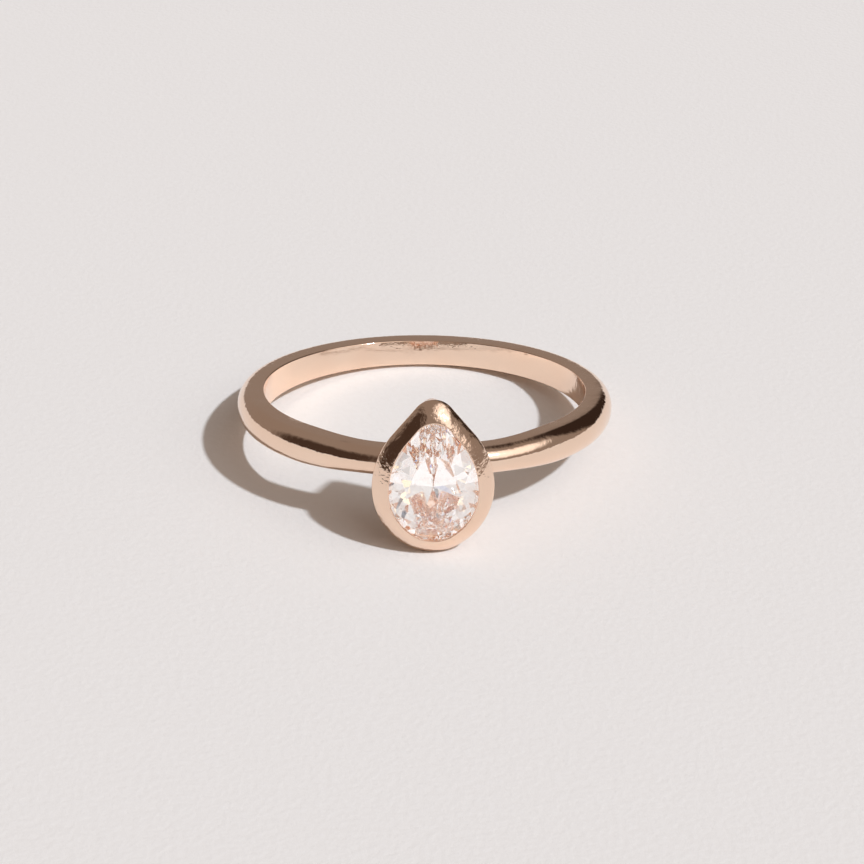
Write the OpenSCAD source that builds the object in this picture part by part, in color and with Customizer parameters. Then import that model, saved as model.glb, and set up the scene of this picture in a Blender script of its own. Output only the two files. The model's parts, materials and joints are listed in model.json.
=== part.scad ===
// Solitaire ring: a pear-shaped brilliant in a rubbed-over collet on a slim court shank.
//
// The ring lies on its side as it would on a table: it rests on the back of the shank and on
// the round end of the collet, so the finger hole leans back a little. The origin is the middle
// of the finger hole, the stone faces -Y and the table top is level with the XY plane.
//
// Each piece is drawn in the ring's own axes (hole along Z, head towards -Y) or in the head's
// axes (pear outline in XY with its point towards +Y, height along Z measured from the middle
// of the finger hole), then turned into place by leaning() and facing_out().

/* [Finger hole] */
// Diameter of the finger hole
finger_d = 17.3; // [15.7:0.1:21.4]

/* [Shank] */
// Radial thickness at the back of the shank
back_t = 1.4; // [1.1:0.05:1.8]
// Radial thickness where the shank reaches the head
head_t = 1.46; // [1.3:0.02:2.2]
// Width along the finger at the back
back_w = 1.44; // [1.2:0.02:2.2]
// Width along the finger at the broadest place, on the shoulders
shoulder_w = 1.8; // [1.5:0.02:2.6]
// Width along the finger where the shank meets the collet
neck_w = 1.46; // [1.2:0.02:2.4]
// Radius of the dome on the outside of the shank
dome_r = 1.35; // [1.2:0.05:4]

/* [Stone] */
// Width of the stone across its girdle
stone_w = 5; // [4:0.1:5.6]
// Length of the round end, from the widest line to the heel
stone_heel = 2.85; // [2.7:0.05:3.4]
// Length of the pointed end, from the widest line to the tip
stone_tip = 4.05; // [3.6:0.05:4.4]
// Height of the crown above the girdle
crown_h = 0.62; // [0.5:0.02:0.9]
// Thickness of the girdle at its thinnest
girdle_t = 0.14; // [0.08:0.01:0.2]
// Depth of the pavilion below the girdle
pavilion_h = 2.08; // [1.8:0.02:2.2]
// Width of the table as a share of the stone's width
table_share = 0.54; // [0.48:0.01:0.62]

/* [Collet] */
// Height of the lip's inner edge above the middle of the finger hole
lip_top = 11.5; // [11.3:0.05:12]
// Half width of the opening inside the lip
opening_w = 2.25; // [2.1:0.01:2.4]
// Length of the opening from the widest line to the heel
opening_heel = 2.61; // [2.5:0.01:2.75]
// Length of the opening from the widest line to the tip
opening_tip = 3.61; // [3.4:0.01:3.85]
// How far the head sits off the shank's middle plane, towards its heel
head_off = 0.25; // [0:0.01:0.3]
// How far the collet stands out round the stone's girdle
rim = 0.6; // [0.45:0.01:0.8]
// Slope of the lip at its inner edge, in degrees
lip_slope_in = 22; // [10:1:30]
// Slope of the lip at its outer edge, in degrees
lip_slope_out = 62; // [45:1:75]
// Taper of the collet's wall towards the finger, in degrees
wall_taper = 17; // [4:1:18]
// Thickness of the collet's wall below the stone
wall_t = 0.38; // [0.35:0.01:0.45]
// Height at which the collet sits on the gallery rail
rail_top = 9.5; // [9.3:0.05:9.8]
// Gap between the finger and the underside of the gallery rail
finger_relief = 0.12; // [0.06:0.01:0.25]

/* [Solder] */
// Thickness of a solder joint
solder_t = 0.06; // [0.03:0.01:0.12]
// How far the shoulder joints stand proud of the shank
solder_proud = 0.05; // [0.02:0.01:0.1]
// Width of the solder line where the collet's strip closes at the tip
seam_w = 0.1; // [0.06:0.01:0.2]

/* [Hidden] */

rose_gold = "#E3AE92";
solder_gold = "#D9A286";
clear_stone = "#E9EDF2";

fine = 96;      // fragments of full circles
flank_steps = 5;  // steps from the widest line to the tighter end of the heel
heel_steps = 14;  // steps round the end of the heel
heel_ease = 0.45; // how much tighter the heel's end is than half the width
wing_steps = 6;   // steps along the curved part of each wing
tip_steps = 6;    // steps round the tip
big = 60;       // larger than the ring
sliver = 0.01;  // fit gap between pieces that touch without being joined

finger_r = finger_d / 2;
outer_r = finger_r + (back_t + head_t) / 2;
outer_shift = (head_t - back_t) / 2;

// Pear outlines: [half width, heel, tip, wing angle, tip radius], from the widest line.
girdle = [stone_w / 2, stone_heel, stone_tip, 40, 0.55];
opening = [opening_w, opening_heel, opening_tip, 38.8, 1.06];
lip_edge = grow(girdle, rim);

// Drop of the head's widest line below the shank's middle plane.
head_drop = (lip_edge[2] - lip_edge[1]) / 2 + head_off;

table_h = lip_top + 0.22;
girdle_top = table_h - crown_h;
girdle_bottom = girdle_top - girdle_t;
culet_h = girdle_bottom - pavilion_h;

lip_run = lip_edge[0] - opening[0];
lip_r = lip_run / (sin(lip_slope_out) - sin(lip_slope_in));
lip_low = lip_top - lip_r * (cos(lip_slope_in) - cos(lip_slope_out));
bearing_low = rail_top + 0.35;
bearing_w = 0.34;      // width of the bearing strip's seat
bearing_round = 0.04;  // softened top edge of the bearing strip
rail_solder_in = 0.06; // how far the rail's solder line is set back from the inner edges

// Lean of the ring on the table, from the two places where it touches.
back_edge_r = finger_r + back_t - 0.3;
lean = atan((lip_edge[1] + head_drop - back_w / 2) / (lip_low + back_edge_r));

// ---- frames ----

// Turns a piece from the ring's axes to the way it lies on the table.
module leaning() {
    rotate([-lean, 0, 0]) children();
}

// Turns a piece from the head's axes into the ring's axes.
module facing_out() {
    rotate([90, 0, 0]) translate([0, -head_drop, 0]) children();
}

// ---- pear outlines ----

// Parallel outline, d further out.
function grow(o, d) = [o[0] + d, o[1] + d, o[2] + d, o[3], o[4] + d];

// Outline between two others.
function between(o, p, f) = [for (i = [0:4]) o[i] + (p[i] - o[i]) * f];

// Radius of the wing's arc, which joins the widest line to the straight run to the tip.
function wing_r(o) =
    ((o[2] - o[4]) * sin(o[3]) + o[4] - o[0] * cos(o[3])) / (1 - cos(o[3]));

// Radius of the tighter end of the heel, and of the flanks that lead to it.
function heel_r(o) = o[0] - heel_ease;
function heel_y(o) = o[1] - heel_r(o);
function flank_r(o) =
    (o[0] * o[0] + pow(heel_y(o), 2) - pow(heel_r(o), 2)) / (2 * heel_ease);

// Angle below the widest line at which a flank meets the end of the heel.
function flank_turn(o) = atan(heel_y(o) / (flank_r(o) - o[0]));

function wing_point(o, t) = [o[0] - wing_r(o) * (1 - cos(t)), wing_r(o) * sin(t)];
function flank_point(o, t) = [o[0] - flank_r(o) * (1 - cos(t)), -flank_r(o) * sin(t)];
function tip_point(o, t) = [o[4] * cos(t), o[2] - o[4] + o[4] * sin(t)];
function heel_point(o, t) = [heel_r(o) * cos(t), -heel_y(o) + heel_r(o) * sin(t)];
function mirrored(p) = [-p.x, p.y];

// Points round a pear, anticlockwise from the left end of the widest line.
function pear(o) =
    let (g = flank_turn(o)) concat(
    [for (i = [0:flank_steps - 1]) mirrored(flank_point(o, g * i / flank_steps))],
    [for (i = [0:heel_steps]) heel_point(o, 180 + g + (180 - 2 * g) * i / heel_steps)],
    [for (i = [flank_steps - 1:-1:0]) flank_point(o, g * i / flank_steps)],
    [for (i = [1:wing_steps]) wing_point(o, o[3] * i / wing_steps)],
    [for (i = [0:tip_steps]) tip_point(o, o[3] + (180 - 2 * o[3]) * i / tip_steps)],
    [for (i = [wing_steps:-1:1]) mirrored(wing_point(o, o[3] * i / wing_steps))]
);

// Distance from the middle of the widest line to the outline's tangent that faces t.
function arc_reach(middle, r, t) = middle.x * cos(t) + middle.y * sin(t) + r;
function reach(o, t) =
    let (u = asin(sin(t)))
    u >= o[3] ? arc_reach([0, o[2] - o[4]], o[4], u) :
    u >= 0 ? arc_reach([o[0] - wing_r(o), 0], wing_r(o), u) :
    -u < flank_turn(o) ? arc_reach([o[0] - flank_r(o), 0], flank_r(o), u) :
    arc_reach([0, -heel_y(o)], heel_r(o), u);

// ---- solids from pear outlines ----

// Ring of points round an outline, level at height h.
function level(o, h) = [for (p = pear(o)) [p.x, p.y, h]];

// Ring of points round an outline that follows the finger's curve.
function saddle(o) = [for (p = pear(o)) [p.x, p.y, sqrt(pow(finger_r + finger_relief, 2) - p.x * p.x)]];

// Quads between ring i and ring j of n points.
function skin(i, j, n) =
    [for (k = [0:n - 1]) [i * n + k, j * n + k, j * n + (k + 1) % n, i * n + (k + 1) % n]];

// Solid between the lowest and highest ring.
module pear_block(rings) {
    n = len(rings[0]);
    last = len(rings) - 1;
    polyhedron(
        [for (ring = rings) each ring],
        concat(
            [for (i = [0:last - 1]) each skin(i, i + 1, n)],
            [[for (k = [0:n - 1]) k]],
            [[for (k = [n - 1:-1:0]) last * n + k]]
        ),
        convexity = 6
    );
}

// Closed band whose section is the loop of rings, taken inside, up, outside and down.
module pear_band(rings) {
    n = len(rings[0]);
    m = len(rings);
    polyhedron(
        [for (ring = rings) each ring],
        [for (i = [0:m - 1]) each skin(i, (i + 1) % m, n)],
        convexity = 8
    );
}

// Outline of the collet's outer wall at a height.
function wall_outline(h) = grow(lip_edge, -(lip_low - h) * tan(wall_taper));

// Outline of the inner face of the wall below the stone.
function inner_outline(h) = grow(wall_outline(h), -wall_t / cos(wall_taper));

// Everything inside the collet's outer wall, grown by d, down past the finger.
module head_envelope(d = 0) {
    low = finger_r - 2.5;
    pear_block([
        level(grow(wall_outline(low), d), low),
        level(grow(wall_outline(lip_low), d), lip_low + sliver)
    ]);
}

module finger_hole() {
    cylinder(r = finger_r, h = big, center = true, $fn = fine);
}

// ---- shank ----

// Court section: domed outside, flat sides, turned about a centre nearer the head.
module shank_round(d = 0) {
    translate([0, -outer_shift, 0])
        rotate_extrude($fn = fine)
            intersection() {
                translate([outer_r - dome_r, 0]) circle(r = dome_r + d, $fn = fine);
                translate([0, -big / 2]) square(big);
            }
}

// Half widths along the shank's side view, from the head to the back.
shank_widths = [
    [-outer_r - 1, neck_w / 2 - 0.1],
    [-outer_r * 0.94, neck_w / 2],
    [-finger_r * 0.8, shoulder_w / 2],
    [finger_r * 0.7, back_w / 2],
    [outer_r + 1, back_w / 2]
];

// Side view that sets the shank's width: broadest on the shoulders, narrower at both ends.
module shank_width(d = 0) {
    last = len(shank_widths) - 1;
    rotate([90, 0, 90])
        linear_extrude(big, center = true)
            polygon(concat(
                [for (w = shank_widths) [w[0], w[1] + d]],
                [for (i = [last:-1:0]) [shank_widths[i][0], -shank_widths[i][1] - d]]
            ));
}

module shank_bar(d = 0) {
    difference() {
        intersection() {
            shank_round(d);
            shank_width(d);
        }
        finger_hole();
    }
}

module shank() {
    color(rose_gold) leaning() difference() {
        shank_bar();
        facing_out() head_envelope(solder_t);
    }
}

// ---- shoulder joints ----

// side is -1 for the left shoulder and 1 for the right one.
module shoulder_solder(side) {
    color(solder_gold) leaning() difference() {
        intersection() {
            shank_bar(solder_proud);
            facing_out() head_envelope(solder_t);
            translate([side * big / 2, 0, 0]) cube(big, center = true);
        }
        facing_out() head_envelope();
    }
}

module shoulder_solder_left() { shoulder_solder(-1); }
module shoulder_solder_right() { shoulder_solder(1); }

// ---- collet ----

// Point on the rubbed-over lip, f from the inner edge to the outer edge.
function lip_level(f) =
    let (s = lip_slope_in + (lip_slope_out - lip_slope_in) * f,
         across = (sin(s) - sin(lip_slope_in)) / (sin(lip_slope_out) - sin(lip_slope_in)))
    level(between(opening, lip_edge, across), lip_top - lip_r * (cos(lip_slope_in) - cos(s)));

// The lip's underside follows the crown from the opening down to the girdle.
crown_edge_h = girdle_top + (lip_top - girdle_top) * 0.5;

module collet_body() {
    lip_steps = 8;
    low = rail_top + solder_t;
    pear_band([
        level(inner_outline(low), low),
        level(inner_outline(bearing_low), bearing_low),
        level(grow(girdle, solder_t), bearing_low + 0.1),
        level(grow(girdle, solder_t), girdle_bottom),
        level(grow(girdle, sliver), girdle_top + sliver * 4),
        level(opening, crown_edge_h),
        for (i = [0:lip_steps]) lip_level(i / lip_steps),
        level(wall_outline(low), low)
    ]);
}

// Slot for the solder line where the two ends of the collet's strip meet, at the tip.
module seam_slot() {
    translate([-seam_w / 2, stone_tip - 0.2, rail_top - 1])
        cube([seam_w, 2, lip_low - rail_top + 0.9]);
}

module collet() {
    color(rose_gold) leaning() facing_out() difference() {
        collet_body();
        seam_slot();
    }
}

module collet_seam_solder() {
    color(solder_gold) leaning() facing_out() intersection() {
        collet_body();
        seam_slot();
    }
}

// ---- bearing strip, on which the stone's pavilion rests ----

module bearing_strip() {
    low = bearing_low + 0.14;
    high = girdle_bottom - 0.05;
    color(rose_gold) leaning() facing_out() pear_band([
        level(grow(girdle, -bearing_w), low),
        level(grow(girdle, -bearing_w), high - bearing_w),
        level(grow(girdle, -bearing_round), high),
        level(girdle, high - bearing_round),
        level(girdle, low)
    ]);
}

module bearing_solder() {
    low = bearing_low + 0.14;
    high = girdle_bottom - 0.12;
    color(solder_gold) leaning() facing_out() pear_band([
        level(girdle, low),
        level(girdle, high),
        level(grow(girdle, solder_t), high),
        level(grow(girdle, solder_t), low)
    ]);
}

// ---- gallery rail, the rim between the collet and the finger ----

module gallery_rail() {
    color(rose_gold) leaning() facing_out() pear_band([
        saddle(inner_outline(finger_r)),
        level(inner_outline(rail_top), rail_top),
        level(wall_outline(rail_top), rail_top),
        saddle(wall_outline(finger_r))
    ]);
}

module rail_solder() {
    inner = grow(inner_outline(rail_top), rail_solder_in);
    outer = grow(wall_outline(rail_top), -rail_solder_in / 2);
    color(solder_gold) leaning() facing_out() pear_band([
        level(inner, rail_top),
        level(inner, rail_top + solder_t),
        level(outer, rail_top + solder_t),
        level(outer, rail_top)
    ]);
}

// ---- stone ----

// Directions that the main facets face, anticlockwise seen from above the table.
crown_dirs = [-90, -43, 2, 40, 90, 140, 178, 223];
pavilion_dirs = [-90, -40, 8, 38, 142, 172, 220];

// Slopes of the lesser facets as shares of their neighbours' slopes.
star_share = 0.58;
upper_share = 1.28;
lower_share = 1.05;

function wrap(i, list) = (i + len(list)) % len(list);

// Direction a share f of the way from entry i to the next entry.
function dir_at(list, i, f) =
    let (a = list[wrap(i, list)],
         b = list[wrap(i + 1, list)],
         turn = (b - a + 360) % 360)
    a + f * turn;

function heading(t) = [cos(t), sin(t)];

// Place where two lines, each given by its direction and distance, cross.
function crossing(s, p, t, q) =
    let (d = sin(t - s)) [p * sin(t) - q * sin(s), q * cos(s) - p * cos(t)] / d;

function star_dir(i) = dir_at(crown_dirs, i, 0.5);
function table_reach(i) = reach(girdle, star_dir(i)) * table_share * 0.93;
function table_corner(i) =
    crossing(star_dir(i - 1), table_reach(i - 1), star_dir(i), table_reach(i));
function main_dir(i) = crown_dirs[wrap(i, crown_dirs)];

// Rise over run of crown main i, which joins the girdle to a corner of the table.
function main_slope(i) =
    crown_h / (reach(girdle, main_dir(i)) - heading(main_dir(i)) * table_corner(i));

function pavilion_slope(t) = pavilion_h / reach(girdle, t);

// Facets are [direction, slope, distance out, height], the plane's own place on its direction.
crown_facets = [
    for (i = [0:len(crown_dirs) - 1]) each [
        [main_dir(i), main_slope(i), reach(girdle, main_dir(i)), girdle_top],
        [star_dir(i), star_share * (main_slope(i) + main_slope(i + 1)) / 2,
         table_reach(i), table_h],
        for (side = [0, 1])
            let (t = dir_at(crown_dirs, i, side == 0 ? 0.25 : 0.75))
            [t, upper_share * main_slope(i + side), reach(girdle, t), girdle_top]
    ]
];
pavilion_facets = [
    for (i = [0:len(pavilion_dirs) - 1]) each [
        for (f = [0, 0.25, 0.75])
            let (t = dir_at(pavilion_dirs, i, f))
            [t, pavilion_slope(t) * (f == 0 ? 1 : lower_share), reach(girdle, t), girdle_bottom]
    ]
];

// Block whose one face is the facet's plane, with the stone behind it.
module behind(facet, up) {
    tilt = up ? atan(facet[1]) : 180 - atan(facet[1]);
    rotate([0, 0, facet[0]])
        translate([facet[2], 0, facet[3]])
            rotate([0, tilt, 0])
                translate([-big / 2, -big / 2, -big])
                    cube(big);
}

module stone() {
    color(clear_stone) leaning() facing_out() intersection() {
        pear_block([level(girdle, culet_h - 1), level(girdle, table_h)]);
        intersection_for(facet = crown_facets) behind(facet, true);
        intersection_for(facet = pavilion_facets) behind(facet, false);
    }
}

shank();
collet();
bearing_strip();
gallery_rail();
stone();
shoulder_solder_left();
shoulder_solder_right();
collet_seam_solder();
bearing_solder();
rail_solder();
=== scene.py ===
"""A rose gold solitaire ring lying on its side on pale paper.

A pear-cut brilliant sits in a rubbed-over collet on a slim court shank. The ring rests on the
back of the shank and on the round end of the collet, so its finger hole leans back a little.
Each piece is made in the ring's own axes (finger hole along Z, head towards -Y) or in the
head's axes (pear outline in XY with its point towards +Y, height along Z measured from the
middle of the finger hole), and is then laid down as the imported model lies.
"""

import json
import logging
import math
from collections.abc import Callable, Iterable
from dataclasses import dataclass
from enum import Enum

import bmesh
import bpy
from mathutils import Matrix, Quaternion, Vector


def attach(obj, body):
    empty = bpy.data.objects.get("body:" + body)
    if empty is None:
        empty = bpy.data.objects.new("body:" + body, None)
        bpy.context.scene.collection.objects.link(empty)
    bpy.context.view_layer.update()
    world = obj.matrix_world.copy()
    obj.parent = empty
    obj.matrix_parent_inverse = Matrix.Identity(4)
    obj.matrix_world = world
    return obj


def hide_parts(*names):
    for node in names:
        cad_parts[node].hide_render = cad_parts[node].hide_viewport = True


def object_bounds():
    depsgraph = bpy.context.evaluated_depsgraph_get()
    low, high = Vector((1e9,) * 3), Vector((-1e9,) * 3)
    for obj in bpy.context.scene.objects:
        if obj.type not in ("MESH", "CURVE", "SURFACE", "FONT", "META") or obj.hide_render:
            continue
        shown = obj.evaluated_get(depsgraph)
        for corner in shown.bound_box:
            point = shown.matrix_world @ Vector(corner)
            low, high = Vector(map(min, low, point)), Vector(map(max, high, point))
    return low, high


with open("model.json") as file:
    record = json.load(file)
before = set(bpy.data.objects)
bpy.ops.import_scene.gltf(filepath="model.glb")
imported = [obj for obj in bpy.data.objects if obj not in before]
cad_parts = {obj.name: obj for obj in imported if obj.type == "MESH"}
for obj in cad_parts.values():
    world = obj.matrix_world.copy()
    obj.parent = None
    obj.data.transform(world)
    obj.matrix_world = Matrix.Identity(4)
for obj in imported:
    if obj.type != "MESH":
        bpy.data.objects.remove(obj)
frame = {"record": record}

CAD_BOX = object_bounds()
LOG = logging.getLogger("ring")
MM = 0.001
UM = 0.001 * MM
HAIR = 1e-4 * MM
WELD = 1e-3 * MM
BODY = "root"
HOLE = next(m for m in frame["record"]["mounts"] if m["name"] == "finger_hole")
HOLE_R = HOLE["dims"]["r_mm"] * MM
LEAN = math.atan2(HOLE["axis"][1], HOLE["axis"][2])


class Slot(Enum):
    """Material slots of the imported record."""

    GOLD = "rose_gold"
    SOLDER = "rose_gold_solder"
    STONE = "clear_stone"


class Side(Enum):
    """Sides of the ring as its stone is faced; the value is the sign of X."""

    LEFT = -1
    RIGHT = 1


class Axes(Enum):
    """The axes that a piece is modelled in."""

    RING = "ring"
    HEAD = "head"


# ---------------------------------------------------------------- bench tools


def turned(degrees: float) -> float:
    """Return the angle that spin needs to turn anticlockwise by degrees."""
    return -math.radians(degrees)


def slope(rise: float, run: float) -> float:
    """Return the angle of a slope in radians."""
    return math.atan2(rise, run)


def heading(degrees: float) -> Vector:
    """Return the level unit vector that points along a direction."""
    return Vector((math.cos(math.radians(degrees)), math.sin(math.radians(degrees)), 0.0))


def eased(share: float) -> float:
    """Return a share, kept between 0 and 1, with a soft start and end."""
    share = min(max(share, 0.0), 1.0)
    return share * share * (3 - 2 * share)


class Bench:
    """Edit-mode operators on one piece at a time, as a maker would use them by hand."""

    @staticmethod
    def start(name: str) -> bpy.types.Object:
        """Start a piece with nothing in it and stay in edit mode.

        Args:
            name: the piece's name.

        Returns:
            The new object, in edit mode.
        """
        bpy.ops.object.select_all(action="DESELECT")
        bpy.ops.mesh.primitive_plane_add(size=MM)
        piece = bpy.context.object
        piece.name = piece.data.name = name
        bpy.ops.object.mode_set(mode="EDIT")
        bpy.ops.mesh.select_mode(type="VERT")
        bpy.ops.mesh.delete(type="VERT")
        return piece

    @staticmethod
    def point(place: Vector) -> None:
        """Add one selected point to the piece that is being edited."""
        bpy.ops.mesh.primitive_plane_add(size=MM, location=place)
        bpy.ops.mesh.merge(type="CENTER")

    @staticmethod
    def arc(middle: Vector, degrees: float, steps: int) -> None:
        """Spin what is selected about an upright axis, anticlockwise if degrees is positive."""
        bpy.ops.mesh.spin(steps=steps, angle=turned(degrees), center=middle, axis=(0, 0, 1))

    @staticmethod
    def line(along: Vector, steps: int = 1) -> None:
        """Draw a straight run from the selected point, in equal steps."""
        for _ in range(steps):
            bpy.ops.mesh.extrude_region_move(TRANSFORM_OT_translate={"value": along / steps})

    @staticmethod
    def choose(piece: bpy.types.Object, test: Callable[[bmesh.types.BMVert], bool]) -> None:
        """Select the points for which test is true, and nothing else.

        Args:
            piece: the piece that is being edited.
            test: says of a point whether to select it.
        """
        mesh = bmesh.from_edit_mesh(piece.data)
        for vert in mesh.verts:
            vert.select = test(vert)
        mesh.select_flush_mode()
        bmesh.update_edit_mesh(piece.data)

    @staticmethod
    def points(piece: bpy.types.Object) -> int:
        """Return how many points the piece that is being edited has."""
        return len(bmesh.from_edit_mesh(piece.data).verts)

    @staticmethod
    def leave(piece: bpy.types.Object, weld: float = HAIR) -> None:
        """Weld doubles, point the faces outwards and leave edit mode.

        Args:
            piece: the piece that is being edited; not used.
            weld: how close two points are to become one.
        """
        bpy.ops.mesh.select_all(action="SELECT")
        bpy.ops.mesh.remove_doubles(threshold=weld)
        bpy.ops.mesh.normals_make_consistent(inside=False)
        bpy.ops.object.mode_set(mode="OBJECT")

    @staticmethod
    def only(piece: bpy.types.Object) -> None:
        """Make the piece the only one selected, and active.

        Args:
            piece: the piece.
        """
        bpy.ops.object.select_all(action="DESELECT")
        piece.select_set(True)
        bpy.context.view_layer.objects.active = piece

    @staticmethod
    def finish(piece: bpy.types.Object, kind: str, **settings: object) -> None:
        """Add a modifier with its settings and apply it.

        Args:
            piece: the piece.
            kind: the modifier's type.
            settings: the modifier's own properties.
        """
        Bench.only(piece)
        bpy.ops.object.modifier_add(type=kind)
        modifier = piece.modifiers[-1]
        for key, value in settings.items():
            setattr(modifier, key, value)
        bpy.ops.object.modifier_apply(modifier=modifier.name)

    @staticmethod
    def ease(piece: bpy.types.Object, width: float, segments: int, degrees: float) -> None:
        """Round off the edges that turn by more than degrees.

        Args:
            piece: the piece.
            width: how far back from the edge the rounding starts.
            segments: how many flats it is made of.
            degrees: the least turn that is rounded.
        """
        Bench.finish(
            piece, "BEVEL", width=width, segments=segments, limit_method="ANGLE",
            angle_limit=math.radians(degrees), use_clamp_overlap=True,
        )

    @staticmethod
    def cut(piece: bpy.types.Object, tool: bpy.types.Object, how: str) -> None:
        """Cut a piece with a tool solid; how is DIFFERENCE or INTERSECT."""
        Bench.finish(piece, "BOOLEAN", operation=how, object=tool, solver="EXACT")

    @staticmethod
    def copy(piece: bpy.types.Object, name: str) -> bpy.types.Object:
        """Return a copy of a piece with its own mesh.

        Args:
            piece: the piece to copy.
            name: the copy's name.

        Returns:
            The copy.
        """
        Bench.only(piece)
        bpy.ops.object.duplicate(linked=False)
        twin = bpy.context.object
        twin.name = twin.data.name = name
        return twin

    @staticmethod
    def scrap(*tools: bpy.types.Object) -> None:
        """Throw tool solids away."""
        for tool in tools:
            bpy.data.objects.remove(tool, do_unlink=True)

    @staticmethod
    def smooth(piece: bpy.types.Object, degrees: float = 32.0) -> None:
        """Shade a piece smooth, with creases sharper than degrees left crisp."""
        Bench.only(piece)
        bpy.ops.object.shade_smooth_by_angle(angle=math.radians(degrees))

    @staticmethod
    def lay_down(piece: bpy.types.Object, axes: Axes, drop: float = 0.0) -> None:
        """Turn a piece from its modelling axes to the way the ring lies, place in its mesh.

        Args:
            piece: the piece to turn.
            axes: the axes that it was modelled in.
            drop: how far the head's widest line is below the shank's middle plane.
        """
        place = Matrix.Rotation(-LEAN, 4, "X")
        if axes is Axes.HEAD:
            place = place @ Matrix.Rotation(math.radians(90), 4, "X")
            place = place @ Matrix.Translation((0, -drop, 0))
        piece.matrix_world = place
        Bench.only(piece)
        bpy.ops.object.transform_apply(location=True, rotation=True, scale=True)


# ---------------------------------------------------------------- pear outlines


@dataclass(frozen=True)
class Pear:
    """A pear outline made of arcs, measured from the middle of its widest line.

    The heel is two flank arcs and a tighter end arc, and the point is two wing arcs that run
    straight to a small round tip.
    """

    half_width: float
    heel: float
    tip: float
    wing_turn: float
    tip_r: float
    heel_ease: float = 0.45 * MM
    flank_steps: int = 10
    heel_steps: int = 36
    wing_steps: int = 18
    run_steps: int = 4
    tip_steps: int = 18

    @property
    def wing_r(self) -> float:
        """Radius of the wing arcs.

        Returns:
            The radius in metres.
        """
        turn = math.radians(self.wing_turn)
        straight = (self.tip - self.tip_r) * math.sin(turn) + self.tip_r
        return (straight - self.half_width * math.cos(turn)) / (1 - math.cos(turn))

    @property
    def heel_r(self) -> float:
        """Radius of the tighter arc at the end of the heel."""
        return self.half_width - self.heel_ease

    @property
    def heel_y(self) -> float:
        """Distance of that arc's middle below the widest line."""
        return self.heel - self.heel_r

    @property
    def flank_r(self) -> float:
        """Radius of the flank arcs between the widest line and the heel's end."""
        squares = self.half_width**2 + self.heel_y**2 - self.heel_r**2
        return squares / (2 * self.heel_ease)

    @property
    def flank_turn(self) -> float:
        """Turn of each flank arc, in degrees."""
        return math.degrees(slope(self.heel_y, self.flank_r - self.half_width))

    def grown(self, by: float) -> "Pear":
        """Return the parallel outline that lies further out.

        Args:
            by: how far out, or in if it is negative.

        Returns:
            The outline.
        """
        wide, heel, tip = self.half_width + by, self.heel + by, self.tip + by
        return Pear(wide, heel, tip, self.wing_turn, self.tip_r + by)

    def towards(self, other: "Pear", share: float) -> "Pear":
        """Return the outline a share of the way to another one.

        Args:
            other: the outline at share 1.
            share: the share of the way.

        Returns:
            The outline.
        """
        sizes = ("half_width", "heel", "tip", "wing_turn", "tip_r")
        pairs = ((getattr(self, size), getattr(other, size)) for size in sizes)
        return Pear(*(here + (there - here) * share for here, there in pairs))

    def reach(self, direction: float) -> float:
        """Return the distance from the middle to the tangent that faces a direction.

        Args:
            direction: the way the tangent faces, in degrees from +X.

        Returns:
            The distance in metres.
        """
        up = math.degrees(math.asin(math.sin(math.radians(direction))))
        if up >= self.wing_turn:
            middle, radius = Vector((0, self.tip - self.tip_r, 0)), self.tip_r
        elif up >= 0:
            middle, radius = Vector((self.half_width - self.wing_r, 0, 0)), self.wing_r
        elif -up < self.flank_turn:
            middle, radius = Vector((self.half_width - self.flank_r, 0, 0)), self.flank_r
        else:
            middle, radius = Vector((0, -self.heel_y, 0)), self.heel_r
        return middle.dot(heading(up)) + radius

    def draw(self, height: float) -> None:
        """Draw the outline at a height in the piece that is being edited.

        Args:
            height: the height.
        """
        bpy.ops.mesh.select_all(action="DESELECT")
        Bench.point(Vector((-self.half_width, 0, height)))
        flank_x = self.half_width - self.flank_r
        wing_x = self.half_width - self.wing_r
        end_turn = 180 - 2 * self.flank_turn
        tip_turn = 180 - 2 * self.wing_turn
        Bench.arc(Vector((-flank_x, 0, height)), self.flank_turn, self.flank_steps)
        Bench.arc(Vector((0, -self.heel_y, height)), end_turn, self.heel_steps)
        Bench.arc(Vector((flank_x, 0, height)), self.flank_turn, self.flank_steps)
        Bench.arc(Vector((wing_x, 0, height)), self.wing_turn, self.wing_steps)
        toe = Vector((wing_x, 0, 0)) + self.wing_r * heading(self.wing_turn)
        shoulder = Vector((0, self.tip - self.tip_r, 0)) + self.tip_r * heading(self.wing_turn)
        run = shoulder - toe
        Bench.line(run, self.run_steps)
        Bench.arc(Vector((0, self.tip - self.tip_r, height)), tip_turn, self.tip_steps)
        Bench.line(Vector((run.x, -run.y, 0)), self.run_steps)
        Bench.arc(Vector((-wing_x, 0, height)), self.wing_turn, self.wing_steps)


Level = tuple[Pear, float]


def band(name: str, levels: Iterable[Level], closed: bool = True) -> bpy.types.Object:
    """Bridge pear outlines, one after another, into a band or a block.

    Args:
        name: the piece's name.
        levels: outlines and their heights, in order round or up the section.
        closed: True joins the last outline to the first; False caps both ends.

    Returns:
        The piece, in object mode and in the head's axes.
    """
    levels = list(levels)
    piece = Bench.start(name)
    for outline, height in levels:
        outline.draw(height)
    bpy.ops.mesh.select_all(action="SELECT")
    bpy.ops.mesh.remove_doubles(threshold=WELD)
    count = Bench.points(piece) // len(levels)
    pairs = len(levels) if closed else len(levels) - 1
    for k in range(pairs):
        these = (k, (k + 1) % len(levels))
        Bench.choose(piece, lambda vert: vert.index // count in these)
        bpy.ops.mesh.bridge_edge_loops()
    if not closed:
        for k in (0, len(levels) - 1):
            Bench.choose(piece, lambda vert: vert.index // count == k)
            bpy.ops.mesh.edge_face_add()
    Bench.leave(piece)
    return piece


# ---------------------------------------------------------------- finishes


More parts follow.
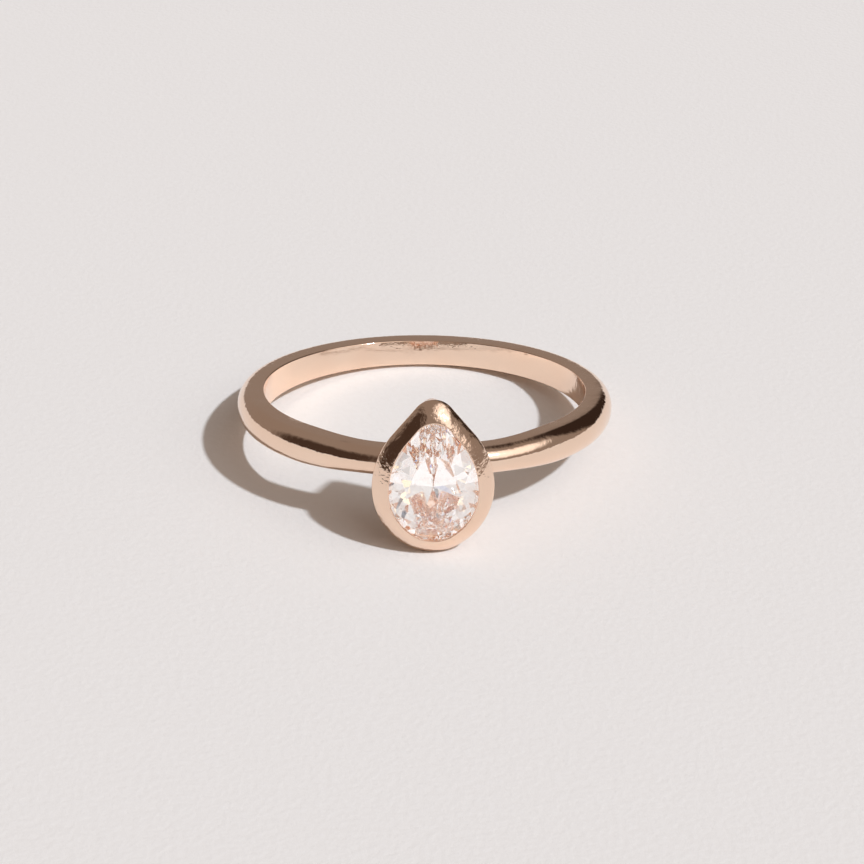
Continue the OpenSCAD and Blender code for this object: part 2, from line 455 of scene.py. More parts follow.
def linear(code: str) -> tuple[float, float, float, float]:
    """Return a linear colour with full alpha from an sRGB hex code such as "#E3AE92".

    Args:
        code: the hex code.

    Returns:
        Red, green, blue and alpha.
    """
    parts = [int(code[i : i + 2], 16) / 255 for i in (1, 3, 5)]
    toned = [c / 12.92 if c <= 0.04045 else ((c + 0.055) / 1.055) ** 2.4 for c in parts]
    return (toned[0], toned[1], toned[2], 1.0)


def per_metre(size_mm: float) -> float:
    """Return the texture scale at which a pattern repeats about every size_mm."""
    return 1 / (size_mm * MM)


def add(
    tree: bpy.types.NodeTree,
    kind: str,
    links: dict[str, bpy.types.NodeSocket] | None = None,
    values: dict[str, object] | None = None,
    **settings: object,
) -> bpy.types.Node:
    """Add a node to a tree.

    Args:
        tree: the node tree.
        kind: the node's type name, such as ShaderNodeBump.
        links: input names or numbers and the output that feeds each.
        values: input names or numbers and the value set on each.
        settings: the node's own properties.

    Returns:
        The node.
    """
    node = tree.nodes.new(kind)
    for key, value in settings.items():
        setattr(node, key, value)
    for key, value in (values or {}).items():
        node.inputs[key].default_value = value
    for key, source in (links or {}).items():
        tree.links.new(source, node.inputs[key])
    return node


def blank_material(name: str) -> tuple[bpy.types.Material, bpy.types.NodeTree]:
    """Return a new node material with nothing in its tree, and the tree.

    Args:
        name: the material's name.

    Returns:
        The material and its tree.
    """
    material = bpy.data.materials.new(name)
    material.use_nodes = True
    material.node_tree.nodes.clear()
    return material, material.node_tree


@dataclass(frozen=True)
class Gold:
    """Polished 14 carat rose gold: a warm mirror with the marks of hand finishing.

    A slow waviness bends long reflections as filing and buffing leave it, small dents and
    wipe marks break up the highlights, and the polish is a little duller between them. Real
    dents and wipe marks are finer than these, which are as coarse as they need to be to show.
    """

    name: str
    base: str
    deep: str
    polish: float
    dull: float
    wave_mm: float = 2.6
    wave_um: float = 90.0
    mark_mm: float = 0.6
    mark_um: float = 16.0
    wipe_mm: float = 0.3
    wipe_um: float = 7.0
    grain: tuple[float, float, float] = (1.0, 1.0, 0.16)

    def material(self) -> bpy.types.Material:
        """Build the node tree.

        Returns:
            The material.
        """
        material, tree = blank_material(self.name)
        place = add(tree, "ShaderNodeTexCoord").outputs["Object"]
        along = add(tree, "ShaderNodeMapping", {"Vector": place}, {"Scale": self.grain})
        normal, patterns = None, []
        for where, size_mm, depth_um, detail, rough in (
            (place, self.wave_mm, self.wave_um, 1.0, 0.4),
            (place, self.mark_mm, self.mark_um, 3.0, 0.6),
            (along.outputs["Vector"], self.wipe_mm, self.wipe_um, 2.0, 0.5),
        ):
            pattern = add(
                tree, "ShaderNodeTexNoise", {"Vector": where},
                {"Scale": per_metre(size_mm), "Detail": detail, "Roughness": rough},
            ).outputs["Fac"]
            under = {} if normal is None else {"Normal": normal}
            normal = add(
                tree, "ShaderNodeBump", {"Height": pattern} | under,
                {"Strength": 1.0, "Distance": depth_um * UM},
            ).outputs["Normal"]
            patterns.append(pattern)
        wave, mark, _ = patterns
        tone = add(
            tree, "ShaderNodeMix", {"Factor": wave},
            {"A": linear(self.deep), "B": linear(self.base)}, data_type="RGBA",
        )
        haze = add(
            tree, "ShaderNodeMapRange", {"Value": mark},
            {"From Min": 0.3, "From Max": 0.75, "To Min": self.polish, "To Max": self.dull},
        )
        shader = add(
            tree, "ShaderNodeBsdfPrincipled",
            {
                "Base Color": tone.outputs["Result"],
                "Roughness": haze.outputs["Result"],
                "Normal": normal,
            },
            {"Metallic": 1.0},
        )
        add(tree, "ShaderNodeOutputMaterial", {"Surface": shader.outputs["BSDF"]})
        return material


@dataclass(frozen=True)
class Brilliant:
    """Polished colourless diamond: clear, with the strong sparkle of its high index."""

    name: str = "brilliant_cut_diamond"
    clear: str = "#FFFFFF"
    breath: str = "#FBFAFC"
    index: float = 2.417
    cloud_mm: float = 1.6

    def material(self) -> bpy.types.Material:
        """Build the node tree.

        Returns:
            The material.
        """
        material, tree = blank_material(self.name)
        place = add(tree, "ShaderNodeTexCoord").outputs["Object"]
        cloud = add(
            tree, "ShaderNodeTexNoise", {"Vector": place},
            {"Scale": per_metre(self.cloud_mm), "Detail": 2.0},
        )
        tone = add(
            tree, "ShaderNodeMix", {"Factor": cloud.outputs["Fac"]},
            {"A": linear(self.breath), "B": linear(self.clear)}, data_type="RGBA",
        )
        shader = add(
            tree, "ShaderNodeBsdfPrincipled", {"Base Color": tone.outputs["Result"]},
            {"Roughness": 0.0, "IOR": self.index, "Transmission Weight": 1.0},
        )
        add(tree, "ShaderNodeOutputMaterial", {"Surface": shader.outputs["BSDF"]})
        return material


# Polished facets with no colour of their own: white and grey flashes, and great depth.
DIAMOND = Brilliant()
# The band's wheel-buffed outside: long, slightly wavy reflections.
BUFFED = Gold("buffed_rose_gold", "#FCE3CE", "#F9D9C1", 0.05, 0.12)
# The lip pushed over the stone by hand: the highlight breaks into sparks along it.
BURNISHED = Gold(
    "burnished_rose_gold", "#FCE3CE", "#F8D7BF", 0.07, 0.15,
    wave_mm=1.7, wave_um=90.0, mark_mm=0.5, mark_um=46.0, wipe_um=12.0,
)
# Inside the ring and the head: a soft even sheen, without a sharp image.
INSIDE = Gold("brushed_inner_rose_gold", "#FADDC7", "#F5D0B6", 0.16, 0.26, mark_um=8.0)
# The solder runs: slightly paler and duller than the metal that they join.
SOLDERED = Gold("hard_solder_rose_gold", "#F8D8C0", "#F0C8AC", 0.12, 0.2)


def dress(
    piece: bpy.types.Object, material: bpy.types.Material, slot: Slot, *nodes: str
) -> None:
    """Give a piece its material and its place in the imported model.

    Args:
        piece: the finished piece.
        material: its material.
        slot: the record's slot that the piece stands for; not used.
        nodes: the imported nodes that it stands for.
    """
    piece.data.materials.clear()
    piece.data.materials.append(material)
    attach(piece, BODY)
    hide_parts(*nodes)
    LOG.info("%s: %d faces, %s", piece.name, len(piece.data.polygons), material.name)


# ---------------------------------------------------------------- the head


@dataclass(frozen=True)
class Stone:
    """The pear-cut brilliant, cut facet by facet from a pear-shaped blank."""

    half_width: float = 2.5 * MM
    heel: float = 2.85 * MM
    tip: float = 4.05 * MM
    wing_turn: float = 40.0
    tip_r: float = 0.55 * MM
    crown: float = 0.62 * MM
    girdle: float = 0.14 * MM
    pavilion: float = 2.08 * MM
    table_share: float = 0.5
    table_height: float = 11.72 * MM
    crown_ways: tuple[float, ...] = (-90, -43, 2, 40, 90, 140, 178, 223)
    pavilion_ways: tuple[float, ...] = (-90, -40, 8, 38, 142, 172, 220)
    star_share: float = 0.58
    upper_share: float = 1.28
    lower_share: float = 1.05
    tip_share: float = 1.3
    tip_gap: int = 3
    facet_cut: float = 1e-5 * MM
    facet_weld: float = 2e-4 * MM

    @property
    def outline(self) -> Pear:
        """The girdle's outline."""
        return Pear(self.half_width, self.heel, self.tip, self.wing_turn, self.tip_r)

    @property
    def girdle_top(self) -> float:
        """Height of the girdle's upper edge."""
        return self.table_height - self.crown

    @property
    def girdle_bottom(self) -> float:
        """Height of the girdle's lower edge."""
        return self.girdle_top - self.girdle

    @staticmethod
    def way(ways: tuple[float, ...], i: int, share: float = 0.0) -> float:
        """Return the direction a share of the way from entry i to the next."""
        here, after = ways[i % len(ways)], ways[(i + 1) % len(ways)]
        return here + share * ((after - here) % 360)

    def corner(self, i: int) -> Vector:
        """Return corner i of the table, where two neighbouring table edges cross.

        Args:
            i: the corner's number.

        Returns:
            The corner, at height 0.
        """
        before = self.way(self.crown_ways, i - 1, 0.5)
        after = self.way(self.crown_ways, i, 0.5)
        p, q = self.table_reach(before), self.table_reach(after)
        s, t = math.radians(before), math.radians(after)
        x = p * math.sin(t) - q * math.sin(s)
        y = q * math.cos(s) - p * math.cos(t)
        return Vector((x, y, 0)) / math.sin(t - s)

    def table_reach(self, direction: float) -> float:
        """Return the distance of the table edge that faces a direction."""
        return self.outline.reach(direction) * self.table_share

    def main_slope(self, i: int) -> float:
        """Return rise over run of crown main i, from the girdle to a table corner.

        Args:
            i: the facet's number.

        Returns:
            Its slope.
        """
        direction = self.way(self.crown_ways, i)
        run = self.outline.reach(direction) - heading(direction).dot(self.corner(i))
        return self.crown / run

    def facet(self, direction: float, rise: float, out: float, height: float) -> None:
        """Grind one flat facet on the stone that is being edited.

        Args:
            direction: the way the facet faces, in degrees.
            rise: its slope as rise over run, positive on the crown and negative below.
            out: how far from the middle its plane passes, on that direction.
            height: the height at which it passes there.
        """
        facing = heading(direction) * abs(rise)
        facing.z = math.copysign(1.0, rise)
        bpy.ops.mesh.select_all(action="SELECT")
        bpy.ops.mesh.bisect(
            plane_co=heading(direction) * out + Vector((0, 0, height)),
            plane_no=facing.normalized(),
            use_fill=True,
            clear_outer=True,
            threshold=self.facet_cut,
        )

    def build(self) -> bpy.types.Object:
        """Cut the stone and return it, in the head's axes.

        Returns:
            The stone.
        """
        outline = self.outline
        blank_low = self.girdle_bottom - self.pavilion - MM
        blank = [(outline, blank_low), (outline, self.table_height)]
        piece = band("pear_brilliant", blank, closed=False)
        Bench.only(piece)
        bpy.ops.object.mode_set(mode="EDIT")
        for i in range(len(self.crown_ways)):
            direction = self.way(self.crown_ways, i)
            rise = self.main_slope(i)
            self.facet(direction, rise, outline.reach(direction), self.girdle_top)
            star = self.way(self.crown_ways, i, 0.5)
            gentle = self.star_share * (rise + self.main_slope(i + 1)) / 2
            self.facet(star, gentle, self.table_reach(star), self.table_height)
            for share, steep in ((0.25, rise), (0.75, self.main_slope(i + 1))):
                upper = self.way(self.crown_ways, i, share)
                out = outline.reach(upper)
                self.facet(upper, self.upper_share * steep, out, self.girdle_top)
        for i in range(len(self.pavilion_ways)):
            half = self.tip_share if i == self.tip_gap else self.lower_share
            for share, steeper in ((0, 1.0), (0.25, half), (0.75, half)):
                under = self.way(self.pavilion_ways, i, share)
                out = outline.reach(under)
                self.facet(under, -steeper * self.pavilion / out, out, self.girdle_bottom)
        Bench.leave(piece, weld=self.facet_weld)
        return piece


@dataclass(frozen=True)
class Head:
    """The setting: collet, bearing strip, gallery rail and the solder between them."""

    stone: Stone
    opening: Pear = Pear(2.25 * MM, 2.61 * MM, 3.61 * MM, 38.8, 1.06 * MM)
    rim: float = 0.6 * MM
    off_middle: float = 0.25 * MM
    lip_top: float = 11.5 * MM
    lip_slope_in: float = 22.0
    lip_slope_out: float = 62.0
    lip_steps: int = 14
    taper: float = 17.0
    wall: float = 0.38 * MM
    shelf_up: float = 0.35 * MM
    shelf_step: float = 0.1 * MM
    stone_slack: float = 0.01 * MM
    over_girdle: float = 0.04 * MM
    lip_ease: float = 0.07 * MM
    rail_top: float = 9.5 * MM
    rail_low: float = HOLE_R - 0.25 * MM
    rail_ease: float = 0.06 * MM
    finger_slack: float = 0.12 * MM
    solder: float = 0.06 * MM
    bearing: float = 0.34 * MM
    bearing_up: float = 0.49 * MM
    bearing_clear: float = 0.05 * MM
    bearing_ease: float = 0.04 * MM
    bearing_solder_clear: float = 0.12 * MM
    seam: float = 0.1 * MM
    blade_deep: float = 2 * MM
    blade_over: float = 0.9 * MM
    blade_out: float = 0.8 * MM

    @property
    def lip_edge(self) -> Pear:
        """Outline of the lip's outer edge."""
        return self.stone.outline.grown(self.rim)

    @property
    def drop(self) -> float:
        """How far the widest line is below the shank's middle plane."""
        return (self.lip_edge.tip - self.lip_edge.heel) / 2 + self.off_middle

    @property
    def lip_r(self) -> float:
        """Radius of the lip's rounded section.

        Returns:
            The radius in metres.
        """
        run = self.lip_edge.half_width - self.opening.half_width
        steep = math.sin(math.radians(self.lip_slope_out))
        return run / (steep - math.sin(math.radians(self.lip_slope_in)))

    def lip_level(self, share: float) -> Level:
        """Return the level a share of the way from the lip's inner to its outer edge.

        Args:
            share: 0 at the inner edge and 1 at the outer edge.

        Returns:
            The outline and its height.
        """
        first, last = math.radians(self.lip_slope_in), math.radians(self.lip_slope_out)
        here = first + (last - first) * share
        across = (math.sin(here) - math.sin(first)) / (math.sin(last) - math.sin(first))
        fall = self.lip_r * (math.cos(first) - math.cos(here))
        return self.opening.towards(self.lip_edge, across), self.lip_top - fall

    def outer(self, height: float) -> Pear:
        """Return the outline of the collet's outer wall at a height."""
        lip_low = self.lip_level(1.0)[1]
        return self.lip_edge.grown(-(lip_low - height) * math.tan(math.radians(self.taper)))

    def inner(self, height: float) -> Pear:
        """Return the outline of the wall's inner face at a height below the stone."""
        return self.outer(height).grown(-self.wall / math.cos(math.radians(self.taper)))

    def envelope(self, name: str, grown: float = 0.0) -> bpy.types.Object:
        """Return a solid of all that lies inside the outer wall, for cutting.

        Args:
            name: the solid's name.
            grown: how far it stands out over the wall.

        Returns:
            The solid, laid down.
        """
        low, high = HOLE_R - 2.5 * MM, self.lip_level(1.0)[1]
        levels = [(self.outer(low).grown(grown), low), (self.outer(high).grown(grown), high)]
        solid = band(name, levels, closed=False)
        Bench.lay_down(solid, Axes.HEAD, self.drop)
        return solid

    def collet(self) -> bpy.types.Object:
        """Return the collet with its rubbed-over lip, before its seam is cut.

        Returns:
            The collet, in the head's axes.
        """
        low = self.rail_top + self.solder
        shelf = self.rail_top + self.shelf_up
        seat = self.stone.outline.grown(self.solder)
        under_lip = (self.lip_top + self.stone.girdle_top) / 2
        levels = [
            (self.inner(low), low),
            (self.inner(shelf), shelf),
            (seat, shelf + self.shelf_step),
            (seat, self.stone.girdle_bottom),
            (
                self.stone.outline.grown(self.stone_slack),
                self.stone.girdle_top + self.over_girdle,
            ),
            (self.opening, under_lip),
            *(self.lip_level(i / self.lip_steps) for i in range(self.lip_steps + 1)),
            (self.outer(low), low),
        ]
        piece = band("rubbed_over_collet", levels)
        Bench.ease(piece, self.lip_ease, segments=4, degrees=28)
        return piece

    def seam_blade(self) -> bpy.types.Object:
        """Return a thin block at the tip, where the collet's strip closes.

        Returns:
            The block, in the head's axes.
        """
        bpy.ops.object.select_all(action="DESELECT")
        bpy.ops.mesh.primitive_cube_add(size=1.0)
        blade = bpy.context.object
        tall = self.lip_level(1.0)[1] - self.rail_top
        blade.scale = (self.seam, self.blade_deep, tall + self.blade_over)
        low = self.rail_top - MM
        blade.location = (0, self.stone.tip + self.blade_out, low + blade.scale.z / 2)
        bpy.ops.object.transform_apply(location=True, rotation=True, scale=True)
        return blade

    def bearing_strip(self) -> bpy.types.Object:
        """Return the strip under the girdle that carries the stone.

        Returns:
            The strip, in the head's axes.
        """
        low = self.rail_top + self.bearing_up
        high = self.stone.girdle_bottom - self.bearing_clear
        outline, soft = self.stone.outline, self.bearing_ease
        return band(
            "bearing_ledge",
            [
                (outline.grown(-self.bearing), low),
                (outline.grown(-self.bearing), high - self.bearing),
                (outline.grown(-soft), high),
                (outline, high - soft),
                (outline, low),
            ],
        )

    def bearing_solder(self) -> bpy.types.Object:
        """Return the solder between the bearing strip and the collet.

        Returns:
            The solder, in the head's axes.
        """
        low = self.rail_top + self.bearing_up
        high = self.stone.girdle_bottom - self.bearing_solder_clear
        outline = self.stone.outline
        outside = outline.grown(self.solder)
        levels = [(outline, low), (outline, high), (outside, high), (outside, low)]
        return band("bearing_joint", levels)

    def rail(self) -> bpy.types.Object:
        """Return the gallery rail, its underside cut to the finger.

        Returns:
            The rail, laid down.
        """
        low = self.rail_low
        levels = [
            (self.inner(low), low),
            (self.inner(self.rail_top), self.rail_top),
            (self.outer(self.rail_top), self.rail_top),
            (self.outer(low), low),
        ]
        piece = band("gallery_rim", levels)
        Bench.lay_down(piece, Axes.HEAD, self.drop)
        bpy.ops.mesh.primitive_cylinder_add(
            vertices=256, radius=HOLE_R + self.finger_slack, depth=20 * MM
        )
        finger = bpy.context.object
        Bench.lay_down(finger, Axes.RING)
        Bench.cut(piece, finger, "DIFFERENCE")
        Bench.scrap(finger)
        Bench.ease(piece, self.rail_ease, segments=3, degrees=40)
        return piece

    def rail_solder(self) -> bpy.types.Object:
        """Return the solder line between the collet and the gallery rail.

        Returns:
            The solder, in the head's axes.
        """
        low, high, slack = self.rail_top, self.rail_top + self.solder, self.stone_slack
        inside = self.inner(self.rail_top).grown(self.solder)
        outside = self.outer(self.rail_top).grown(-self.solder / 2)
        levels = [
            (inside, low),
            (inside, high),
            (outside, high - slack),
            (outside.grown(slack), (low + high) / 2),
            (outside, low + slack),
        ]
        return band("rail_joint", levels)

    def build(self, soldered: bpy.types.Material) -> None:
        """Make, lay down and dress every piece of the head.

        Args:
            soldered: the material of the solder runs.
        """
        burnished, inside = BURNISHED.material(), INSIDE.material()
        stone = self.stone.build()
        Bench.lay_down(stone, Axes.HEAD, self.drop)
        dress(stone, DIAMOND.material(), Slot.STONE, "stone")

        collet = self.collet()
        seam = Bench.copy(collet, "collet_seam")
        blade = self.seam_blade()
        Bench.cut(collet, blade, "DIFFERENCE")
        Bench.cut(seam, blade, "INTERSECT")
        Bench.scrap(blade)
        rail = self.rail()
        Bench.smooth(rail)
        dress(rail, inside, Slot.GOLD, "gallery_rail")
        for piece, material, slot, node in (
            (collet, burnished, Slot.GOLD, "collet"),
            (seam, soldered, Slot.SOLDER, "collet_seam_solder"),
            (self.bearing_strip(), inside, Slot.GOLD, "bearing_strip"),
            (self.bearing_solder(), soldered, Slot.SOLDER, "bearing_solder"),
            (self.rail_solder(), soldered, Slot.SOLDER, "rail_solder"),
        ):
            Bench.lay_down(piece, Axes.HEAD, self.drop)
            Bench.smooth(piece)
            dress(piece, material, slot, node)


# ---------------------------------------------------------------- the shank


@dataclass(frozen=True)
class Shank:
    """The band: court-section wire bent round, filed to its taper and cut to the head."""

    head: Head
    back_t: float = 1.4 * MM
    head_t: float = 1.46 * MM
    back_w: float = 1.44 * MM
    shoulder_w: float = 1.8 * MM
    neck_w: float = 1.46 * MM
    shoulder_at: float = 45.0
    neck_at: float = 20.0
    outer_round: float = 0.68 * MM
    outer_segments: int = 14
    back_round_share: float = 0.55
    inner_round: float = 0.05 * MM
    inner_segments: int = 5
    solder_proud: float = 0.03 * MM
    gap: float = 0.06 * MM
    joint_overlap: float = 0.05 * MM
    steps: int = 180
    start_at: float = 10.0

    @property
    def sweep(self) -> float:
        """How far the wire is bent round, in degrees."""
        return 360 - 2 * self.start_at

    @property
    def wire_t(self) -> float:
        """Thickness of the wire before it is filed."""
        return (self.back_t + self.head_t) / 2

    @property
    def middle_r(self) -> float:
        """Radius of the middle of the wire."""
        return HOLE_R + self.wire_t / 2

    def width(self, turn: float) -> float:
        """Return the width along the finger at an angle from the head, in degrees.

        Args:
            turn: the angle.

        Returns:
            The width in metres.
        """
        turn = abs(turn)
        if turn < self.shoulder_at:
            share = (turn - self.neck_at) / (self.shoulder_at - self.neck_at)
            low, high = self.neck_w, self.shoulder_w
        else:
            share = (turn - self.shoulder_at) / (180 - self.shoulder_at)
            low, high = self.shoulder_w, self.back_w
        return low + (high - low) * eased(share)

    def section(self, name: str, proud: float) -> bpy.types.Object:
        """Start a piece with the court section, flat on the XZ plane and in edit mode.

        Args:
            name: the piece's name.
            proud: how far the section stands out over the finished shank.

        Returns:
            The piece, as one loop of points at the first step's place.
        """
        bpy.ops.object.select_all(action="DESELECT")
        bpy.ops.mesh.primitive_plane_add(
            size=1.0,
            location=(self.middle_r, 0, 0),
            rotation=(math.radians(90), 0, 0),
        )
        piece = bpy.context.object
        piece.name = piece.data.name = name
        piece.scale = (self.wire_t + 2 * proud, self.back_w + 2 * proud, 1.0)
        bpy.ops.object.transform_apply(location=True, rotation=True, scale=True)
        bpy.ops.object.mode_set(mode="EDIT")
        bpy.ops.mesh.select_mode(type="VERT")
        for out, radius, segments in (
            (True, self.outer_round, self.outer_segments),
            (False, self.inner_round, self.inner_segments),
        ):
            Bench.choose(piece, lambda vert: (vert.co.x > self.middle_r) == out)
            bpy.ops.mesh.bevel(offset=radius + proud, segments=segments, affect="VERTICES")
        bpy.ops.mesh.select_all(action="SELECT")
        bpy.ops.mesh.delete(type="ONLY_FACE")
        bpy.ops.mesh.select_all(action="SELECT")
        bpy.ops.mesh.remove_doubles(threshold=WELD)
        return piece

    def wire(self, name: str, proud: float = 0.0) -> bpy.types.Object:
        """Bend the section round from one side of the head to the other and file its taper.

        Args:
            name: the piece's name.
            proud: how far it stands out over the finished shank.

        Returns:
            The closed horseshoe, in the ring's axes.
        """
        piece = self.section(name, proud)
        count = Bench.points(piece)
        bpy.ops.mesh.select_all(action="SELECT")
        first = math.radians(self.start_at - 90)
        bpy.ops.transform.rotate(value=-first, orient_axis="Z", center_override=(0, 0, 0))
        Bench.arc(Vector((0, 0, 0)), self.sweep, self.steps)
        for k in (0, self.steps):
            Bench.choose(piece, lambda vert: vert.index // count == k)
            bpy.ops.mesh.edge_face_add()
        for k in range(self.steps + 1):
            self.file_section(piece, count, k, proud)
        Bench.choose(piece, lambda vert: math.hypot(vert.co.x, vert.co.y) > self.middle_r)
        thicker = (self.head_t - self.back_t) / 2
        bpy.ops.transform.translate(value=(0, -thicker, 0))
        Bench.leave(piece)
        return piece

    def file_section(
        self, piece: bpy.types.Object, count: int, k: int, proud: float
    ) -> None:
        """File one station of the wire: crisper edges at the back, its own width all round.

        Args:
            piece: the wire, in edit mode.
            count: how many points each station has.
            k: the station's number.
            proud: how far the wire stands out over the finished shank.
        """
        turn = self.start_at + self.sweep * k / self.steps
        edge = heading(turn - 90) * (HOLE_R + self.wire_t + proud)
        turn = min(turn, 360 - turn)
        crisp = 1 - (1 - self.back_round_share) * eased((turn - 90) / 90)
        if crisp < 1:
            for up in (-1, 1):
                edge.z = up * (self.back_w / 2 + proud)
                Bench.choose(
                    piece,
                    lambda vert: vert.index // count == k
                    and vert.co.z * up > 0
                    and math.hypot(vert.co.x, vert.co.y) > self.middle_r,
                )
                bpy.ops.transform.resize(value=(crisp, crisp, crisp), center_override=edge)
        Bench.choose(piece, lambda vert: vert.index // count == k)
        wide = self.width(turn) / self.back_w
        bpy.ops.transform.resize(value=(1, 1, wide), center_override=(0, 0, 0))

    def build(self, soldered: bpy.types.Material) -> None:
        """Make, fit and dress the shank and the two joints that hold it to the head.

        Args:
            soldered: the material of the two joints.
        """
        piece = self.wire("court_shank")
        Bench.lay_down(piece, Axes.RING)
        clear = self.head.envelope("clear", self.gap)
        Bench.cut(piece, clear, "DIFFERENCE")
        Bench.scrap(clear)
        Bench.smooth(piece)
        dress(piece, BUFFED.material(), Slot.GOLD, "shank")
        for side in Side:
            name = side.name.lower()
            joint = self.wire(f"{name}_shoulder_joint", self.solder_proud)
            Bench.only(joint)
            bpy.ops.object.mode_set(mode="EDIT")
            bpy.ops.mesh.select_all(action="SELECT")
            bpy.ops.mesh.bisect(
                plane_co=(0, 0, 0), plane_no=(-side.value, 0, 0), use_fill=True,
                clear_outer=True,
            )
            Bench.leave(joint)
            Bench.lay_down(joint, Axes.RING)
            wall = self.head.envelope("wall")
            reach = self.head.envelope("reach", self.gap + self.joint_overlap)
            Bench.cut(joint, reach, "INTERSECT")
            Bench.cut(joint, wall, "DIFFERENCE")
            Bench.scrap(wall, reach)
            Bench.smooth(joint)
            dress(joint, soldered, Slot.SOLDER, f"shoulder_solder_{name}")


# ---------------------------------------------------------------- the studio


@dataclass(frozen=True)
class Paper:
    """Cold-pressed pale paper: matt, faintly warm, with a fine tooth."""

    name: str = "pale_cartridge_paper"
    sheet: str = "#F1ECE7"
    fleck: str = "#ECE6E0"
    tooth_mm: float = 0.35
    tooth_um: float = 24.0

    def material(self) -> bpy.types.Material:
        """Build the node tree.

        Returns:
            The material.
        """
        material, tree = blank_material(self.name)
        place = add(tree, "ShaderNodeTexCoord").outputs["Object"]
        tooth = add(
            tree, "ShaderNodeTexNoise", {"Vector": place},
            {"Scale": per_metre(self.tooth_mm), "Detail": 3.0, "Roughness": 0.55},
        )
        bump = add(
            tree, "ShaderNodeBump", {"Height": tooth.outputs["Fac"]},
            {"Strength": 1.0, "Distance": self.tooth_um * UM},
        )
        tone = add(
            tree, "ShaderNodeMix", {"Factor": tooth.outputs["Fac"]},
            {"A": linear(self.fleck), "B": linear(self.sheet)}, data_type="RGBA",
        )
        shader = add(
            tree, "ShaderNodeBsdfPrincipled",
            {"Base Color": tone.outputs["Result"], "Normal": bump.outputs["Normal"]},
            {"Roughness": 0.9, "Specular IOR Level": 0.2},
        )
        add(tree, "ShaderNodeOutputMaterial", {"Surface": shader.outputs["BSDF"]})
        return material


# Matt and even: shadows lie clean on it, with a tooth drawn just coarse enough to show.
SHEET = Paper()


@dataclass(frozen=True)
class Patch:
    """A round soft-edged patch of the room, such as a dark doorway or a bright curtain."""

    toward: tuple[float, float, float]
    core: float
    edge: float
    colour: str
    power: float = 1.0

    def over(
        self, tree: bpy.types.NodeTree, way: bpy.types.NodeSocket, under: bpy.types.NodeSocket
    ) -> bpy.types.NodeSocket:
        """Lay the patch over the room's colour.

        Args:
            tree: the world's tree.
            way: the direction that is looked along.
            under: the colour so far.

        Returns:
            The colour with the patch in it.
        """
        near = add(
            tree, "ShaderNodeVectorMath", {0: way}, {1: Vector(self.toward).normalized()},
            operation="DOT_PRODUCT",
        )
        share = add(
            tree, "ShaderNodeMapRange", {"Value": near.outputs["Value"]},
            {
                "From Min": math.cos(math.radians(self.edge)),
                "From Max": math.cos(math.radians(self.core)),
            },
            interpolation_type="SMOOTHSTEP",
        )
        red, green, blue, full = linear(self.colour)
        lit = (red * self.power, green * self.power, blue * self.power, full)
        mix = add(
            tree, "ShaderNodeMix", {"Factor": share.outputs["Result"], "A": under},
            {"B": lit}, data_type="RGBA",
        )
        return mix.outputs["Result"]


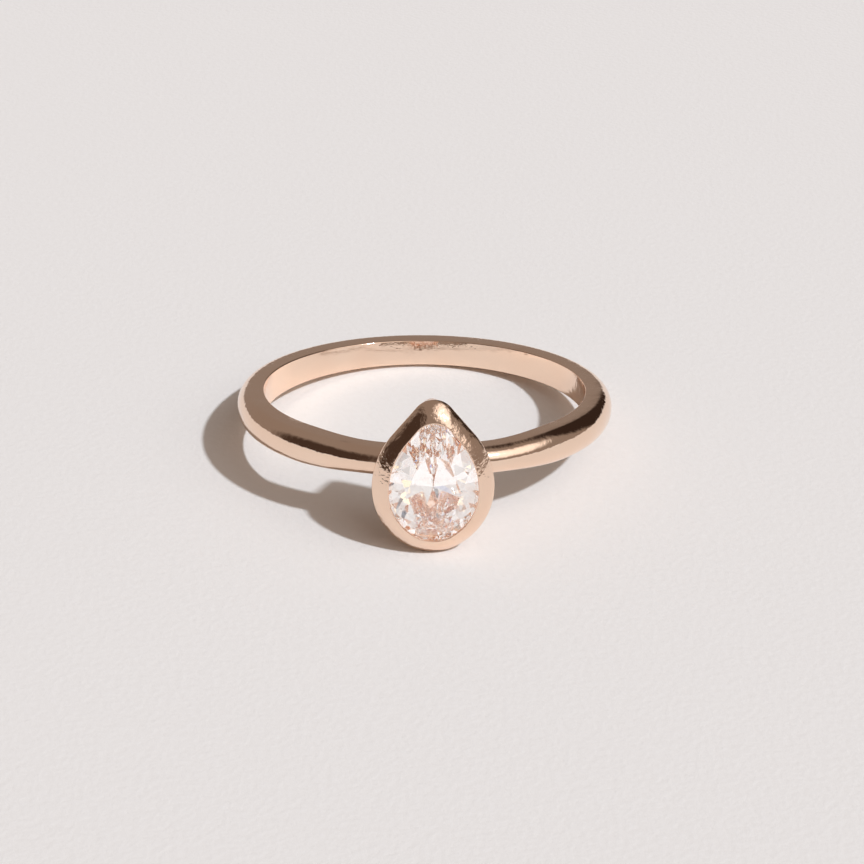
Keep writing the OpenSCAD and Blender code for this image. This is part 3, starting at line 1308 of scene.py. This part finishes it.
@dataclass(frozen=True)
class Studio:
    """The table, the low sun from the front right, the room and the camera."""

    table: float = 1.2
    sun_from: tuple[float, float, float] = (0.74, -0.58, 1.06)
    sun_width: float = 3.0
    sun_power: float = 2.8
    sun_colour: str = "#E8F1FC"
    lens: float = 104.17
    camera_at: tuple[float, float, float] = (-5.529 * MM, -118.177 * MM, 65.264 * MM)
    aim_at: tuple[float, float, float] = (0.391 * MM, -0.813 * MM, -1.418 * MM)
    roll: float = 1.048
    bounces: int = 48
    room_tone: str = "#8F837B"
    patches: tuple[Patch, ...] = (
        Patch((-0.86, -0.38, 0.30), 26.0, 46.0, "#44362E"),
        Patch((0.60, 0.70, 0.38), 24.0, 37.0, "#332721"),
        Patch((0.54, -0.42, 0.73), 18.0, 36.0, "#FFF7F2", 1.25),
    )
    tent_tone: str = "#EDE7E3"
    tent_cards: tuple[Patch, ...] = (
        Patch((-0.35, -0.55, 0.85), 6.0, 14.0, "#5F6670"),
        Patch((0.25, -0.35, 0.95), 5.0, 12.0, "#6E5F52"),
        Patch((-0.75, -0.60, 0.10), 7.0, 16.0, "#8FA6E8"),
        Patch((0.70, -0.70, -0.05), 5.0, 13.0, "#A9A4F0"),
        Patch((0.80, -0.45, 0.30), 6.0, 14.0, "#C9D2FF", 1.6),
        Patch((0.05, -0.90, 0.60), 5.0, 16.0, "#FFE9C8", 1.5),
    )

    def room(self) -> None:
        """Light the room: brown grey, two dark corners and a pale glow round the sun.

        The stone is looked into past white cards, as a jeweller holds them close to it, so
        what has passed through it meets a white tent with a few darker and tinted gaps.
        """
        world = bpy.data.worlds.new("room")
        bpy.context.scene.world = world
        world.use_nodes = True
        tree = world.node_tree
        tree.nodes.clear()
        way = add(tree, "ShaderNodeTexCoord").outputs["Generated"]
        tones = []
        for start, patches in (
            (self.room_tone, self.patches), (self.tent_tone, self.tent_cards)
        ):
            tone = add(tree, "ShaderNodeRGB").outputs["Color"]
            tone.default_value = linear(start)
            for patch in patches:
                tone = patch.over(tree, way, tone)
            tones.append(tone)
        path = add(tree, "ShaderNodeLightPath")
        past_stone = add(
            tree, "ShaderNodeMix",
            {"Factor": path.outputs["Transmission Depth"], "A": tones[0], "B": tones[1]},
            data_type="RGBA",
        )
        glow = add(
            tree, "ShaderNodeBackground", {"Color": past_stone.outputs["Result"]},
            {"Strength": 1.0},
        )
        add(tree, "ShaderNodeOutputWorld", {"Surface": glow.outputs["Background"]})

    def floor(self) -> None:
        """Lay the paper under the lowest point of the ring."""
        bpy.ops.object.select_all(action="DESELECT")
        bpy.ops.mesh.primitive_plane_add(size=self.table, location=(0, 0, CAD_BOX[0][2]))
        paper = bpy.context.object
        paper.name = paper.data.name = "paper"
        bpy.ops.object.transform_apply(location=True, rotation=True, scale=True)
        paper.data.materials.append(SHEET.material())

    def light(self) -> None:
        """Add the sun."""
        bpy.ops.object.light_add(type="SUN")
        sun = bpy.context.object
        sun.name = "low_sun"
        sun.rotation_euler = Vector(self.sun_from).to_track_quat("Z", "Y").to_euler()
        sun.data.energy = self.sun_power
        sun.data.angle = math.radians(self.sun_width)
        sun.data.color = linear(self.sun_colour)[:3]

    def camera(self) -> None:
        """Place the camera and set how far it follows the light."""
        bpy.ops.object.camera_add(location=self.camera_at)
        camera = bpy.context.object
        toward = Vector(self.aim_at) - Vector(self.camera_at)
        facing = toward.to_track_quat("-Z", "Y") @ Quaternion((0, 0, 1), math.radians(self.roll))
        camera.rotation_euler = facing.to_euler()
        camera.data.sensor_width = 36.0
        camera.data.lens = self.lens
        camera.data.clip_start = 0.01
        camera.data.clip_end = 5.0
        scene = bpy.context.scene
        scene.camera = camera
        scene.view_settings.view_transform = "Standard"
        # light turns many times inside a brilliant before it comes out
        scene.cycles.max_bounces = self.bounces
        scene.cycles.glossy_bounces = self.bounces
        scene.cycles.transmission_bounces = self.bounces

    def build(self) -> None:
        """Set everything round the ring."""
        self.floor()
        self.room()
        self.light()
        self.camera()
        LOG.info("studio: table, sun, room and camera")


def main() -> None:
    """Make the ring, its table and its light."""
    logging.basicConfig(level=logging.INFO, format="%(message)s")
    soldered = SOLDERED.material()
    head = Head(Stone())
    head.build(soldered)
    Shank(head).build(soldered)
    Studio().build()


if __name__ == "__main__":
    main()
